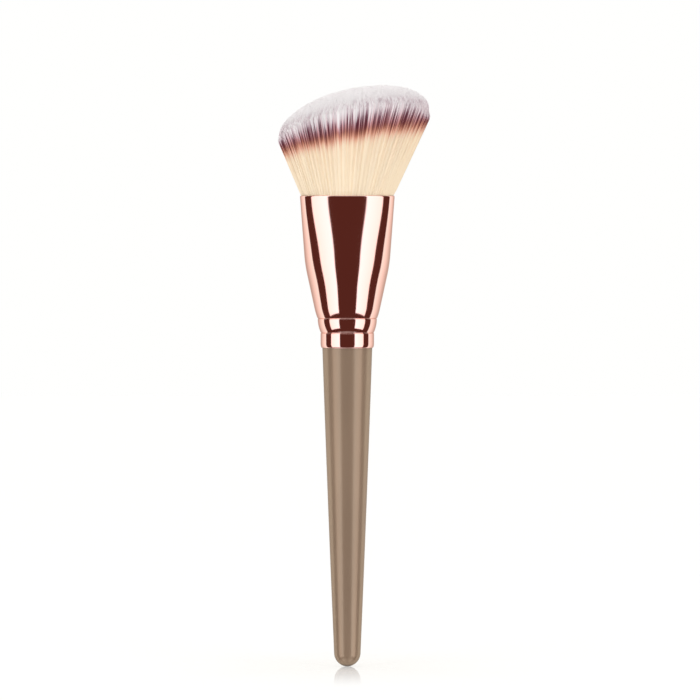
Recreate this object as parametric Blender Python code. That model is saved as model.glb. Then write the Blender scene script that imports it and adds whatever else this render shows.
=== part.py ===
"""Contour brush: a slanted, domed head of dyed hair in a pressed metal ferrule on a turned, lacquered handle.

The brush stands on the round end of its handle. +Z runs up its axis, its wide side faces -Y, and the
origin is the lowest point of the handle, on the axis. All lengths are in metres.
"""

import math

import bmesh
import bpy
import numpy as np

# Handle
HANDLE_LENGTH = 0.0962  # from the round end to the ferrule's lip
HANDLE_END_RADIUS = 0.0040
HANDLE_END_HEIGHT = 0.0042
HANDLE_NECK_RADIUS = 0.00752
HANDLE_SWELL_SHARE = 0.12
NECK_ENTRY = 0.0012  # how far the full neck goes into the ferrule
TENON_LENGTH = 0.020
TENON_CHAMFER = 0.0008

# Ferrule
FERRULE_LENGTH = 0.0457
FERRULE_WALL = 0.0003
LIP_ROUND_HEIGHT = 0.0015
LIP_ROUND_DEPTH = 0.00028
CRIMP_WIDTH = 0.0006
CRIMP_DEPTH = 0.00015
BAND_HEIGHT = 0.0048  # from the lip to the middle of the lower crimp
BEAD_HEIGHT = 0.0043  # from the lower crimp to the upper one
BEAD_STEP = 0.00085  # how far the bead stands out over the band
FLARE_STEP = 0.00035  # how far the flare starts outside the bead
SHOULDER_HEIGHT = 0.0250  # from the lip to where the flare eases off
SHOULDER_HALF_WIDTH = 0.01275
SHOULDER_ROUNDING = 0.0030  # how far the round bend reaches up and down from the shoulder
PRESS_HEIGHT = 0.0185  # from the lip to where the round flare begins to be pressed oval
MOUTH_HALF_WIDTH = 0.01428
MOUTH_HALF_DEPTH = 0.0091
MOUTH_ROUND_HEIGHT = 0.0005
MOUTH_ROUND_DEPTH = 0.0002

# Clearances
FIT_GAP = 0.00025  # between pieces that seat on each other
HAIR_GAP = 0.00025  # between the hair and the mouth of the ferrule

# Hair: the strands fan out from the mouth and are cut to a dome over a slanted line
HAIR_RINGS = 8  # rings of cells, which give 6 * 8 * 8 = 384 strands
ROOT_RECESS = 0.0010  # from the mouth down to the slice that holds the strands
ROOT_SLICE = 0.0030
STRAND_GAP = 0.00022
STRAND_SPREAD_SHARE = 1.14
STRAND_TAPER = 0.0035
TIP_UNEVENNESS = 0.0005
LEFT_ANGLE = math.radians(22.0)
RIGHT_ANGLE = math.radians(25.6)
FRONT_ANGLE = math.radians(10.0)
SLANT_ANGLE = math.radians(10.1)
DOME_BASE_HEIGHT = 0.0220  # from the mouth to the slanted line, at the dome's middle
DOME_RISE = 0.0105
DOME_HALF_WIDTH = 0.02245
DOME_HALF_DEPTH = 0.0176
DOME_MIDDLE = 0.0020  # how far the dome's middle lies beside the axis

# Roots inside the ferrule
GLUE_THICKNESS = 0.0030
GLUE_SKIRT = 0.0050  # how far the glue reaches down round the tenon
THREAD_DIAMETER = 0.0006
THREAD_PITCH = 0.0012
THREAD_TURNS = 2
THREAD_BELOW_SLICE = 0.0040  # from the slice down to the uppermost turn

# Resolution
SIDES = 6 * HAIR_RINGS
POINTS_A_TURN = 24
SEED = 7

# Places along the axis, worked out from the sizes above
LIP_Z = HANDLE_LENGTH
MOUTH_Z = LIP_Z + FERRULE_LENGTH
LOWER_CRIMP_Z = LIP_Z + BAND_HEIGHT
UPPER_CRIMP_Z = LOWER_CRIMP_Z + BEAD_HEIGHT
TENON_TOP_Z = LIP_Z + TENON_LENGTH
GLUE_TOP_Z = TENON_TOP_Z + FIT_GAP + GLUE_THICKNESS
SLICE_TOP_Z = MOUTH_Z - ROOT_RECESS
SLICE_BOTTOM_Z = SLICE_TOP_Z - ROOT_SLICE
THREAD_TOP_Z = SLICE_BOTTOM_Z - THREAD_BELOW_SLICE
FLARE_Z = UPPER_CRIMP_Z + CRIMP_WIDTH / 2
SHOULDER_Z = LIP_Z + SHOULDER_HEIGHT
PRESS_Z = LIP_Z + PRESS_HEIGHT

# Radii that follow from the handle's neck
BAND_RADIUS = HANDLE_NECK_RADIUS + FIT_GAP + FERRULE_WALL
BEAD_RADIUS = BAND_RADIUS + BEAD_STEP
FLARE_RADIUS = BEAD_RADIUS + FLARE_STEP
TENON_RADIUS = HANDLE_NECK_RADIUS - CRIMP_DEPTH

# The fan: where the lines of the hair would meet below the mouth, seen from the front and from the side
FIELD_HALF_WIDTH = MOUTH_HALF_WIDTH - FERRULE_WALL - HAIR_GAP
FIELD_HALF_DEPTH = MOUTH_HALF_DEPTH - FERRULE_WALL - HAIR_GAP
FAN_REACH = 2 * FIELD_HALF_WIDTH / (math.tan(LEFT_ANGLE) + math.tan(RIGHT_ANGLE))
FAN_OFFSET = FIELD_HALF_WIDTH - FAN_REACH * math.tan(RIGHT_ANGLE)
FAN_SIDE_REACH = FIELD_HALF_DEPTH / math.tan(FRONT_ANGLE)


def clear_scene():
    for old in list(bpy.data.objects):
        bpy.data.objects.remove(old)


def principled(name, colour, roughness, metallic=0.0):
    """A material with one Principled BSDF, its colour given as linear red, green and blue."""
    material = bpy.data.materials.new(name)
    material.use_nodes = True
    shader = material.node_tree.nodes["Principled BSDF"]
    shader.inputs["Base Color"].default_value = (*colour, 1.0)
    shader.inputs["Roughness"].default_value = roughness
    shader.inputs["Metallic"].default_value = metallic
    return material


def lacquer_material():
    return principled("taupe_lacquer", (0.235, 0.165, 0.115), 0.22)


def metal_material():
    return principled("rose_gold_metal", (0.855, 0.558, 0.474), 0.18, 1.0)


def resin_material():
    return principled("root_resin", (0.60, 0.45, 0.25), 0.45)


def glue_material():
    return principled("set_glue", (0.72, 0.62, 0.42), 0.35)


def thread_material():
    return principled("waxed_thread", (0.80, 0.76, 0.68), 0.8)


def hair_material():
    """Cream hair with a brown dyed band that fades to white tips, laid out along the slanted height."""
    material = principled("dyed_hair", (0.90, 0.76, 0.60), 0.6)
    nodes, links = material.node_tree.nodes, material.node_tree.links
    place = nodes.new("ShaderNodeTexCoord")
    axis = nodes.new("ShaderNodeVectorMath")
    axis.operation = "DOT_PRODUCT"
    axis.inputs[1].default_value = (-math.sin(SLANT_ANGLE), 0.0, math.cos(SLANT_ANGLE))
    height = nodes.new("ShaderNodeMapRange")
    height.inputs["From Min"].default_value = MOUTH_Z
    height.inputs["From Max"].default_value = MOUTH_Z + DOME_BASE_HEIGHT + DOME_RISE
    ramp = nodes.new("ShaderNodeValToRGB")
    stops = (
        (0.00, (0.90, 0.74, 0.55)),
        (0.40, (0.85, 0.62, 0.45)),
        (0.52, (0.24, 0.09, 0.08)),
        (0.62, (0.30, 0.19, 0.21)),
        (0.74, (0.72, 0.66, 0.68)),
        (1.00, (0.84, 0.81, 0.79)),
    )
    while len(ramp.color_ramp.elements) < len(stops):
        ramp.color_ramp.elements.new(1.0)
    for element, (share, colour) in zip(ramp.color_ramp.elements, stops):
        element.position = share
        element.color = (*colour, 1.0)
    links.new(place.outputs["Object"], axis.inputs[0])
    links.new(axis.outputs["Value"], height.inputs["Value"])
    links.new(height.outputs["Result"], ramp.inputs["Fac"])
    links.new(ramp.outputs["Color"], nodes["Principled BSDF"].inputs["Base Color"])
    return material


def finish(name, bm, material, root, sharp=math.radians(35)):
    """Turns a bmesh into a named, smoothly shaded object that hangs on the root empty."""
    bmesh.ops.recalc_face_normals(bm, faces=bm.faces)
    mesh = bpy.data.meshes.new(name)
    bm.to_mesh(mesh)
    bm.free()
    mesh.shade_smooth()
    mesh.set_sharp_from_angle(angle=sharp)
    mesh.materials.append(material)
    return place(name, mesh, root)


def place(name, data, root):
    part = bpy.data.objects.new(name, data)
    bpy.context.scene.collection.objects.link(part)
    part.parent = root
    return part


def ring(bm, z, half_width, half_depth):
    """A ring of vertices on an ellipse, the first one at +X."""
    turns = np.arange(SIDES) * (2 * math.pi / SIDES)
    return [bm.verts.new((half_width * math.cos(a), half_depth * math.sin(a), z)) for a in turns]


def skin(bm, rings, closed=False):
    """Quads between each ring and the next, and from the last ring back to the first if closed."""
    pairs = list(zip(rings, rings[1:]))
    if closed:
        pairs.append((rings[-1], rings[0]))
    for low, high in pairs:
        for i in range(SIDES):
            j = (i + 1) % SIDES
            bm.faces.new((low[i], low[j], high[j], high[i]))


def solid_loft(bm, sections):
    """A closed loft through (z, half width, half depth) sections, with a flat face at each end."""
    rings = [ring(bm, *section) for section in sections]
    skin(bm, rings)
    bm.faces.new(rings[0])
    bm.faces.new(rings[-1])


def arc(count):
    """Angles that divide a quarter turn into equal steps."""
    return np.linspace(0, math.pi / 2, count)


def handle_profile():
    """(radius, z) down the outer side of the handle, from the tenon's end to the round end."""
    points = [
        (0, TENON_TOP_Z),
        (TENON_RADIUS - TENON_CHAMFER, TENON_TOP_Z),
        (TENON_RADIUS, TENON_TOP_Z - TENON_CHAMFER),
        (TENON_RADIUS, LIP_Z + NECK_ENTRY + CRIMP_DEPTH),
        (HANDLE_NECK_RADIUS, LIP_Z + NECK_ENTRY),
    ]
    growth = HANDLE_NECK_RADIUS - HANDLE_END_RADIUS
    for t in np.linspace(1, 0, 10):
        swollen = t + HANDLE_SWELL_SHARE * t * (1 - t)
        z = HANDLE_END_HEIGHT + t * (LIP_Z - HANDLE_END_HEIGHT)
        points.append((HANDLE_END_RADIUS + growth * swollen, z))
    for a in arc(8)[1:]:
        points.append((HANDLE_END_RADIUS * math.cos(a), HANDLE_END_HEIGHT * (1 - math.sin(a))))
    points[-1] = (0, 0)
    return points


def make_handle(root):
    """Turned wood: the half outline is spun round the axis."""
    bm = bmesh.new()
    verts = [bm.verts.new((r, 0, z)) for r, z in handle_profile()]
    edges = [bm.edges.new(pair) for pair in zip(verts, verts[1:])]
    bmesh.ops.spin(
        bm,
        geom=verts + edges,
        cent=(0, 0, 0),
        axis=(0, 0, 1),
        angle=2 * math.pi,
        steps=SIDES,
        use_merge=True,
    )
    bmesh.ops.remove_doubles(bm, verts=bm.verts, dist=TENON_CHAMFER / 1000)
    return finish("handle", bm, lacquer_material(), root)


def crimp(z, before, after):
    """(z, radius) across a pressed ring, which sinks by the crimp's depth between its two edges."""
    points = []
    for t in np.linspace(0, 1, 5):
        edge = before + (after - before) * t
        points.append((z + (t - 0.5) * CRIMP_WIDTH, edge - CRIMP_DEPTH * math.sin(math.pi * t)))
    return points


def lip_outline():
    """(z, radius) of the lip, which rounds in towards the handle."""
    points = []
    for a in arc(4):
        z = LIP_Z + LIP_ROUND_HEIGHT * (1 - math.cos(a))
        points.append((z, BAND_RADIUS - LIP_ROUND_DEPTH * (1 - math.sin(a))))
    return points


def socket_outline():
    """(z, radius) up the round part of the ferrule above the lip: lower crimp, bead and upper crimp."""
    points = crimp(LOWER_CRIMP_Z, BAND_RADIUS, BAND_RADIUS)
    bead_start = LOWER_CRIMP_Z + CRIMP_WIDTH / 2
    bead_end = UPPER_CRIMP_Z - CRIMP_WIDTH / 2
    for a in arc(6)[1:-1]:
        z = bead_start + (bead_end - bead_start) * (1 - math.cos(a))
        points.append((z, BAND_RADIUS + BEAD_STEP * math.sin(a)))
    return points + crimp(UPPER_CRIMP_Z, BEAD_RADIUS, FLARE_RADIUS)


def flare_half_width(z):
    """The ferrule's outer half width above the bead: two straight runs with a round bend at the shoulder."""
    low = (SHOULDER_HALF_WIDTH - FLARE_RADIUS) / (SHOULDER_Z - FLARE_Z)
    high = (MOUTH_HALF_WIDTH - SHOULDER_HALF_WIDTH) / (MOUTH_Z - SHOULDER_Z)
    past = z - SHOULDER_Z
    if past > SHOULDER_ROUNDING:
        return SHOULDER_HALF_WIDTH + high * past
    into_bend = max(0.0, past + SHOULDER_ROUNDING)
    return SHOULDER_HALF_WIDTH + low * past - (low - high) * into_bend ** 2 / (4 * SHOULDER_ROUNDING)


def flare_half_depth(z):
    """The outer half depth above the bead: the half width while the flare is round, then pressed to less."""
    t = max(0.0, (z - PRESS_Z) / (MOUTH_Z - PRESS_Z))
    flattening = (1 - MOUTH_HALF_DEPTH / MOUTH_HALF_WIDTH) * t * t * (3 - 2 * t)
    return flare_half_width(z) * (1 - flattening)


def ferrule_outline():
    """(z, half width, half depth) of the outer side, from the lip to the rounded mouth."""
    points = [(z, r, r) for z, r in lip_outline() + socket_outline()]
    end = MOUTH_Z - MOUTH_ROUND_HEIGHT
    for z in np.linspace(FLARE_Z, end, 13)[1:]:
        points.append((z, flare_half_width(z), flare_half_depth(z)))
    for a in arc(3)[1:]:
        z = end + MOUTH_ROUND_HEIGHT * math.sin(a)
        inset = MOUTH_ROUND_DEPTH * (1 - math.cos(a))
        points.append((z, flare_half_width(z) - inset, flare_half_depth(z) - inset))
    return points


def bore_at(z):
    """(half width, half depth) of the ferrule's inside above the bead."""
    return flare_half_width(z) - FERRULE_WALL, flare_half_depth(z) - FERRULE_WALL


def ferrule_bore():
    """(z, half width, half depth) of the inner side, from the mouth down to the lip."""
    inner = [(z, r - FERRULE_WALL, r - FERRULE_WALL) for z, r in socket_outline()]
    for z in np.linspace(FLARE_Z, MOUTH_Z, 13)[1:]:
        inner.append((z, *bore_at(z)))
    socket = BAND_RADIUS - FERRULE_WALL
    return inner[::-1] + [(LIP_Z, socket, socket)]


def make_ferrule(root):
    """Sheet metal: a thin wall between an outer and an inner loft, round at the lip and oval at the mouth."""
    bm = bmesh.new()
    sections = ferrule_outline() + ferrule_bore()
    skin(bm, [ring(bm, *section) for section in sections], closed=True)
    return finish("ferrule", bm, metal_material(), root)


def fan(x, y, height):
    """Where the line of hair that leaves the mouth at (x, y) is at a height above the mouth."""
    return (
        FAN_OFFSET + (x - FAN_OFFSET) * (1 + height / FAN_REACH),
        y * (1 + height / FAN_SIDE_REACH),
    )


def dome_height(x, y):
    """How high the dome stands over the mouth at (x, y): an elliptic cap on a slanted line."""
    across = (x - DOME_MIDDLE) / DOME_HALF_WIDTH
    deep = y / DOME_HALF_DEPTH
    cap = math.sqrt(max(0.0, 1 - across * across - deep * deep))
    return DOME_BASE_HEIGHT + (x - DOME_MIDDLE) * math.tan(SLANT_ANGLE) + DOME_RISE * cap


def cut_height(x, y):
    """The height at which the line of hair from (x, y) in the mouth meets the dome, found by halving."""
    low, high = 0.0, 2 * (DOME_BASE_HEIGHT + DOME_RISE)
    for _ in range(40):
        middle = (low + high) / 2
        if middle < dome_height(*fan(x, y, middle)):
            low = middle
        else:
            high = middle
    return (low + high) / 2


def hair_cells():
    """Points of the hair field on a unit disc, in rings of 6, 12, 18 and so on, and their triangles."""
    points, rings = [(0.0, 0.0)], [[0]]
    for i in range(1, HAIR_RINGS + 1):
        turns = np.arange(6 * i) * (2 * math.pi / (6 * i))
        rings.append(list(range(len(points), len(points) + 6 * i)))
        points += [(i / HAIR_RINGS * math.cos(a), i / HAIR_RINGS * math.sin(a)) for a in turns]
    cells = []
    for i in range(1, HAIR_RINGS + 1):
        outer, inner = rings[i], rings[i - 1]
        for sector in range(6):
            for j in range(i):
                a = outer[sector * i + j]
                b = outer[(sector * i + j + 1) % len(outer)]
                c = inner[(sector * (i - 1) + j) % len(inner)]
                cells.append((a, b, c))
                if j < i - 1:
                    cells.append((c, b, inner[(sector * (i - 1) + j + 1) % len(inner)]))
    return points, cells, rings[-1]


def at_mouth(place_on_slice):
    """Where the line of hair that starts at a place on the slice passes the mouth."""
    return (
        FAN_OFFSET + (place_on_slice.x - FAN_OFFSET) / (1 - ROOT_RECESS / FAN_REACH),
        place_on_slice.y / (1 - ROOT_RECESS / FAN_SIDE_REACH),
    )


def grow_strand(bm, face, shortfall):
    """Draws one cell of the slice up along the fan into a strand, tapers it and brings it to a point."""
    corners = [at_mouth(vert.co) for vert in face.verts]
    middle_x, middle_y = at_mouth(face.calc_center_median())
    tip_height = cut_height(middle_x, middle_y) - shortfall
    shoulder = tip_height - STRAND_TAPER
    top = bmesh.ops.extrude_discrete_faces(bm, faces=[face])["faces"][0]
    for vert, (x, y) in zip(top.verts, corners):
        wide_x = middle_x + (x - middle_x) * STRAND_SPREAD_SHARE
        wide_y = middle_y + (y - middle_y) * STRAND_SPREAD_SHARE
        vert.co = (*fan(wide_x, wide_y, shoulder), MOUTH_Z + shoulder)
    tip = bmesh.ops.poke(bm, faces=[top])["verts"][0]
    tip.co = (*fan(middle_x, middle_y, tip_height), MOUTH_Z + tip_height)


def make_tuft(root):
    """The hair: a slice of its bonded root, whose upper face is cut into cells that each grow a strand."""
    bm = bmesh.new()
    points, cells, border = hair_cells()
    verts = []
    for u, v in points:
        x, y = fan(FIELD_HALF_WIDTH * u, FIELD_HALF_DEPTH * v, -ROOT_RECESS)
        verts.append(bm.verts.new((x, y, SLICE_TOP_Z)))
    faces = [bm.faces.new([verts[i] for i in cell]) for cell in cells]
    rim = [verts[i] for i in border]
    outlines = []
    for z in (SLICE_TOP_Z, SLICE_BOTTOM_Z):
        half_width, half_depth = bore_at(z)
        outlines.append(ring(bm, z, half_width - FIT_GAP, half_depth - FIT_GAP))
    skin(bm, [rim] + outlines)
    bm.faces.new(outlines[-1])
    bm.normal_update()
    bmesh.ops.inset_individual(bm, faces=faces, thickness=STRAND_GAP / 2, use_even_offset=True)
    shortfalls = np.random.default_rng(SEED).uniform(0, TIP_UNEVENNESS, len(faces))
    for face, shortfall in zip(faces, shortfalls):
        grow_strand(bm, face, shortfall)
    print(f"hair: {len(faces)} strands on one slice")
    return finish("hair_tuft", bm, hair_material(), root, sharp=math.radians(70))


def plug_section(z, inset=0.0):
    """(z, half width, half depth) of the bonded roots: a fit gap inside the ferrule, then an inset."""
    half_width, half_depth = bore_at(z)
    return z, half_width - FIT_GAP - inset, half_depth - FIT_GAP - inset


def make_root_plug(root):
    """The bonded roots of the hair below the slice, with the waist that the thread pulls in."""
    waist = THREAD_DIAMETER + FIT_GAP
    waist_top = THREAD_TOP_Z + THREAD_DIAMETER
    waist_bottom = THREAD_TOP_Z - THREAD_TURNS * THREAD_PITCH - THREAD_DIAMETER
    bottom, top = GLUE_TOP_Z + FIT_GAP, SLICE_BOTTOM_Z - FIT_GAP
    sections = [plug_section(z) for z in np.linspace(bottom, waist_bottom - waist, 5)]
    sections += [plug_section(waist_bottom, waist), plug_section(waist_top, waist)]
    sections += [plug_section(waist_top + waist), plug_section(top)]
    bm = bmesh.new()
    solid_loft(bm, sections)
    return finish("root_plug", bm, resin_material(), root)


def thread_points():
    """The thread's centre line: turns round the plug's waist, with a straight end at each side."""
    count = THREAD_TURNS * POINTS_A_TURN
    outside = THREAD_DIAMETER / 2
    points = []
    for i in range(count + 1):
        a = 2 * math.pi * i / POINTS_A_TURN - math.pi / 2
        z = THREAD_TOP_Z - THREAD_PITCH * i / POINTS_A_TURN
        _, half_width, half_depth = plug_section(z, outside)
        points.append(np.array((half_width * math.cos(a), half_depth * math.sin(a), z)))
    for end, inward in ((0, 1), (-1, -2)):
        away = points[end] - points[inward]
        straight = points[end] + away / np.linalg.norm(away) * THREAD_DIAMETER
        points.insert(0 if end == 0 else len(points), straight)
    return np.array(points)


def least_gap(points):
    """The least clear distance between two stretches of the thread that are over half a turn apart."""
    apart = np.abs(np.subtract.outer(np.arange(len(points)), np.arange(len(points))))
    between = np.linalg.norm(points[:, None] - points[None], axis=2)
    return between[apart > POINTS_A_TURN // 2].min() - THREAD_DIAMETER


def make_thread(root):
    """The thread that ties the hair: one unbroken round tube, laid in the plug's waist."""
    points = thread_points()
    curve = bpy.data.curves.new("binding_thread", "CURVE")
    curve.dimensions = "3D"
    curve.bevel_depth = THREAD_DIAMETER / 2
    curve.bevel_resolution = 1
    curve.use_fill_caps = True
    spline = curve.splines.new("POLY")
    spline.points.add(len(points) - 1)
    for point, place_on_line in zip(spline.points, points):
        point.co = (*place_on_line, 1.0)
    curve.materials.append(thread_material())
    print(f"binding thread: least gap to itself {least_gap(points) * 1000:.2f} mm")
    return place("binding_thread", curve, root)


def make_glue(root):
    """The set glue on the tenon: a disc with a skirt round the tenon's end, a fit gap inside the metal."""
    bottom = TENON_TOP_Z - GLUE_SKIRT
    hole = TENON_RADIUS + FIT_GAP
    ceiling = TENON_TOP_Z + FIT_GAP
    outer = [plug_section(z) for z in np.linspace(bottom, GLUE_TOP_Z, 4)]
    bm = bmesh.new()
    rings = [ring(bm, *section) for section in outer]
    inner = [ring(bm, z, hole, hole) for z in (bottom, ceiling)]
    skin(bm, [inner[1], inner[0]] + rings)
    bm.faces.new(rings[-1])
    bm.faces.new(inner[1])
    return finish("adhesive_bed", bm, glue_material(), root)


def make_brush():
    clear_scene()
    root = bpy.data.objects.new("contour_brush", None)
    bpy.context.scene.collection.objects.link(root)
    make_handle(root)
    make_ferrule(root)
    make_glue(root)
    make_root_plug(root)
    make_thread(root)
    make_tuft(root)


make_brush()
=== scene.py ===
"""Contour brush, dressed for its portrait: a lesson in cells.

Each step has a cell of sentences and then short cells of code. All lengths are in metres, +Z runs up the
brush's axis, its wide side faces -Y, and the origin is the lowest point of the handle.
"""

# %% [markdown]
# # A contour brush
# A contour brush has three parts that a hand or a face ever meets: a lacquered handle, a ferrule of
# mirror-bright rose gold, and a tuft of dyed hair that is cut to a slanted dome. A imported model of exact
# solids is loaded first, because everything that is made here has to lie where its solid lies.

# %% Load the imported model
import math

import bpy
import numpy as np
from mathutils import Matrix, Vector


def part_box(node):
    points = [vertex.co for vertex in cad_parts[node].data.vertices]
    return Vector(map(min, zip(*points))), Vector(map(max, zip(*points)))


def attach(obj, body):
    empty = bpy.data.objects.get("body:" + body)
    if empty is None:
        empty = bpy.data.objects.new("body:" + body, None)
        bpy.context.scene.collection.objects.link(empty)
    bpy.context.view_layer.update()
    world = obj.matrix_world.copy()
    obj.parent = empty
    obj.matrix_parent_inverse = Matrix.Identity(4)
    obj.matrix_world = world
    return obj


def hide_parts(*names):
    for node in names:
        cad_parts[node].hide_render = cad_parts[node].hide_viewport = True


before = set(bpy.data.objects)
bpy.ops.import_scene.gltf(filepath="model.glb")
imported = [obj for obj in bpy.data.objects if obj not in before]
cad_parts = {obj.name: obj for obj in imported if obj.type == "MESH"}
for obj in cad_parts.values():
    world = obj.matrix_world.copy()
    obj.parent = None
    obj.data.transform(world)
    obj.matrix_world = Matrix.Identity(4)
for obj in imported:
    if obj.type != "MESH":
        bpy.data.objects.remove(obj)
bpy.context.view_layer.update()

# %% [markdown]
# ## The camera
# The portrait looks at the wide side from far away, near the height of the ferrule's mouth, so that it
# shows as a straight line. A short lens close by would bend that line and swell the hair. A long lens from
# well over a metre keeps it straight, so the lens is worked out from the distance and from how wide a strip
# of the world the picture holds.

# %% Place the camera
VIEW_DISTANCE = 1.3
CAMERA_HEIGHT = 0.135
PICTURE_MIDDLE = Vector((0.00081, 0.0, 0.0955))
PICTURE_WIDTH = 0.2107
SENSOR_WIDTH = 36.0
CAMERA_WHITE = (1.0, 1.0, 0.99)

scene = bpy.context.scene
camera_data = bpy.data.cameras.new("portrait_camera")
camera_data.sensor_width = SENSOR_WIDTH
camera_data.lens = SENSOR_WIDTH * VIEW_DISTANCE / PICTURE_WIDTH
camera = bpy.data.objects.new("portrait_camera", camera_data)
scene.collection.objects.link(camera)
camera.location = (PICTURE_MIDDLE.x, -VIEW_DISTANCE, CAMERA_HEIGHT)
camera.rotation_euler = (PICTURE_MIDDLE - camera.location).to_track_quat("-Z", "Y").to_euler()
scene.camera = camera
scene.view_settings.view_transform = "Standard"
print(f"lens {camera_data.lens:.0f} mm")

# %% [markdown]
# ## The studio
# Mirror metal has hardly any colour of its own: what makes it look like metal is what stands round it. In a
# studio for polished things, long white panels and dark cloths stand upright in a ring, and each shows on
# the metal as a light or dark stripe. Real panels could be modelled, but they would get in the way of a
# camera that goes round the brush. The ring is painted on the sky instead, by the angle from the front, and
# the camera itself sees plain white there. Three more things are painted by the angle up or down: a soft
# light overhead, a dark gap under the foot of the front panels, which draws the dark line over each rolled
# ring, and below it the floor, which mirrors the panels faintly. One large soft lamp, which the metal
# doesn't mirror, hangs in front and brings out the hair.

# %% Turn numbers into colours
def ramp(nodes, links, value, stops, smooth=True):
    """A colour that passes through the stops, each a share and a linear red, green and blue."""
    node = nodes.new("ShaderNodeValToRGB")
    node.color_ramp.interpolation = "EASE" if smooth else "LINEAR"
    elements = node.color_ramp.elements
    while len(elements) < len(stops):
        elements.new(1.0)
    for element, (share, colour) in zip(elements, stops):
        element.position = share
        element.color = (*colour, 1.0)
    links.new(value, node.inputs["Fac"])
    return node.outputs["Color"]


def mix_colour(nodes, links, share, first, second, blend="MIX"):
    """Mixes two colours, each a socket or three numbers, by a share that is a socket or a number."""
    node = nodes.new("ShaderNodeMix")
    node.data_type = "RGBA"
    node.blend_type = blend
    for socket, value in (("Factor_Float", share), ("A_Color", first), ("B_Color", second)):
        inlet = next(i for i in node.inputs if i.identifier == socket)
        if isinstance(value, bpy.types.NodeSocket):
            links.new(value, inlet)
        else:
            inlet.default_value = (*value, 1.0) if isinstance(value, tuple) else value
    return next(o for o in node.outputs if o.identifier == "Result_Color")


# %% List the panels and cloths
DARK_CLOTH = (0.106, 0.0315, 0.0235)
PANEL_NEAR = (1.75, 1.80, 1.88)
PANEL_FAR = (1.75, 1.56, 1.52)
SIDE_PANEL = (1.37, 1.38, 1.31)
BACK_PANEL = (1.10, 1.06, 1.00)
BACK_SHADE = (0.70, 0.71, 0.69)
BACKDROP = (1.0, 1.0, 0.99)
RING = (
    (0, DARK_CLOTH), (31.2, DARK_CLOTH), (33.8, PANEL_NEAR), (72, PANEL_FAR),
    (75, DARK_CLOTH), (103, DARK_CLOTH), (106, SIDE_PANEL), (129, BACK_PANEL),
    (150, BACK_SHADE), (167, BACK_SHADE), (174, BACKDROP), (180, BACKDROP),
)
HALF_TURN = 180
PANEL_HEAD, PANEL_FOOT, FLOOR_START = math.radians(52.0), math.radians(-31.5), math.radians(-44.0)
HEAD_BLUR, FOOT_BLUR, FLOOR_BLUR = 0.02, 0.012, 0.03
OVERHEAD = (2.0, 2.0, 2.0)
FOOT_END = 104.5
FLOOR_IMAGE, IMAGE_SHARE = (0.90, 0.88, 0.86), 0.5
print("the ring has", len(RING), "edges of panels and cloths")

# %% Paint the ring on the sky
world = bpy.data.worlds.new("studio")
scene.world = world
world.use_nodes = True
nodes, links = world.node_tree.nodes, world.node_tree.links
background = nodes["Background"]


def maths(operation, *values):
    """One Math node on numbers or sockets of the sky's tree."""
    node = nodes.new("ShaderNodeMath")
    node.operation = operation
    for inlet, value in zip(node.inputs, values):
        if isinstance(value, bpy.types.NodeSocket):
            links.new(value, inlet)
        else:
            inlet.default_value = value
    return node.outputs[0]


def step_at(value, middle, blur):
    """0 below a middle and 1 above it, with a soft edge of twice the blur."""
    edge = nodes.new("ShaderNodeMapRange")
    edge.inputs["From Min"].default_value = middle - blur
    edge.inputs["From Max"].default_value = middle + blur
    links.new(value, edge.inputs["Value"])
    return edge.outputs["Result"]


direction = nodes.new("ShaderNodeSeparateXYZ")
links.new(nodes.new("ShaderNodeTexCoord").outputs["Generated"], direction.inputs["Vector"])
sideways = maths("ABSOLUTE", direction.outputs["X"])
towards_front = maths("MULTIPLY", direction.outputs["Y"], -1.0)
from_front = maths("DIVIDE", maths("ARCTAN2", sideways, towards_front), math.pi)
shares = [(degrees / HALF_TURN, colour) for degrees, colour in RING]
ring = ramp(nodes, links, from_front, shares, smooth=False)
above_foot = step_at(direction.outputs["Z"], math.sin(PANEL_FOOT), FOOT_BLUR)
behind = step_at(from_front, FOOT_END / HALF_TURN, FOOT_BLUR)
above_head = step_at(direction.outputs["Z"], math.sin(PANEL_HEAD), HEAD_BLUR)
above_floor = step_at(direction.outputs["Z"], math.sin(FLOOR_START), FLOOR_BLUR)
mirrored = mix_colour(nodes, links, IMAGE_SHARE, ring, FLOOR_IMAGE)
below = mix_colour(nodes, links, above_floor, mirrored, DARK_CLOTH)
ring = mix_colour(nodes, links, maths("MAXIMUM", above_foot, behind), below, ring)
sky = mix_colour(nodes, links, above_head, ring, OVERHEAD)
seen_by_camera = nodes.new("ShaderNodeLightPath").outputs["Is Camera Ray"]
links.new(mix_colour(nodes, links, seen_by_camera, sky, CAMERA_WHITE), background.inputs["Color"])
print("sky painted with", len(nodes), "nodes")

# %% Hang the soft lamp
LAMP_PLACE, LAMP_TARGET = Vector((0.0, -1.1, 0.75)), Vector((0.0, 0.0, 0.15))
LAMP_SIZE = 0.6
LAMP_WATTS = 2.6

lamp_data = bpy.data.lights.new("soft_lamp", "AREA")
lamp_data.size = LAMP_SIZE
lamp_data.energy = LAMP_WATTS
lamp = bpy.data.objects.new("soft_lamp", lamp_data)
scene.collection.objects.link(lamp)
lamp.location = LAMP_PLACE
lamp.rotation_euler = (LAMP_TARGET - LAMP_PLACE).to_track_quat("-Z", "Y").to_euler()
lamp.visible_glossy = False
print(f"lamp {1000 * (LAMP_TARGET - LAMP_PLACE).length:.0f} mm from the hair")

# %% [markdown]
# ## Surfaces from arrays
# Every new surface is worked out as whole arrays: a table of points, and tables of faces that name their
# corners by number. Points could be made one by one, but numpy does hundreds of thousands in one line. One
# function writes the arrays into a mesh, whose object stays at the origin, and another starts a material.

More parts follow.
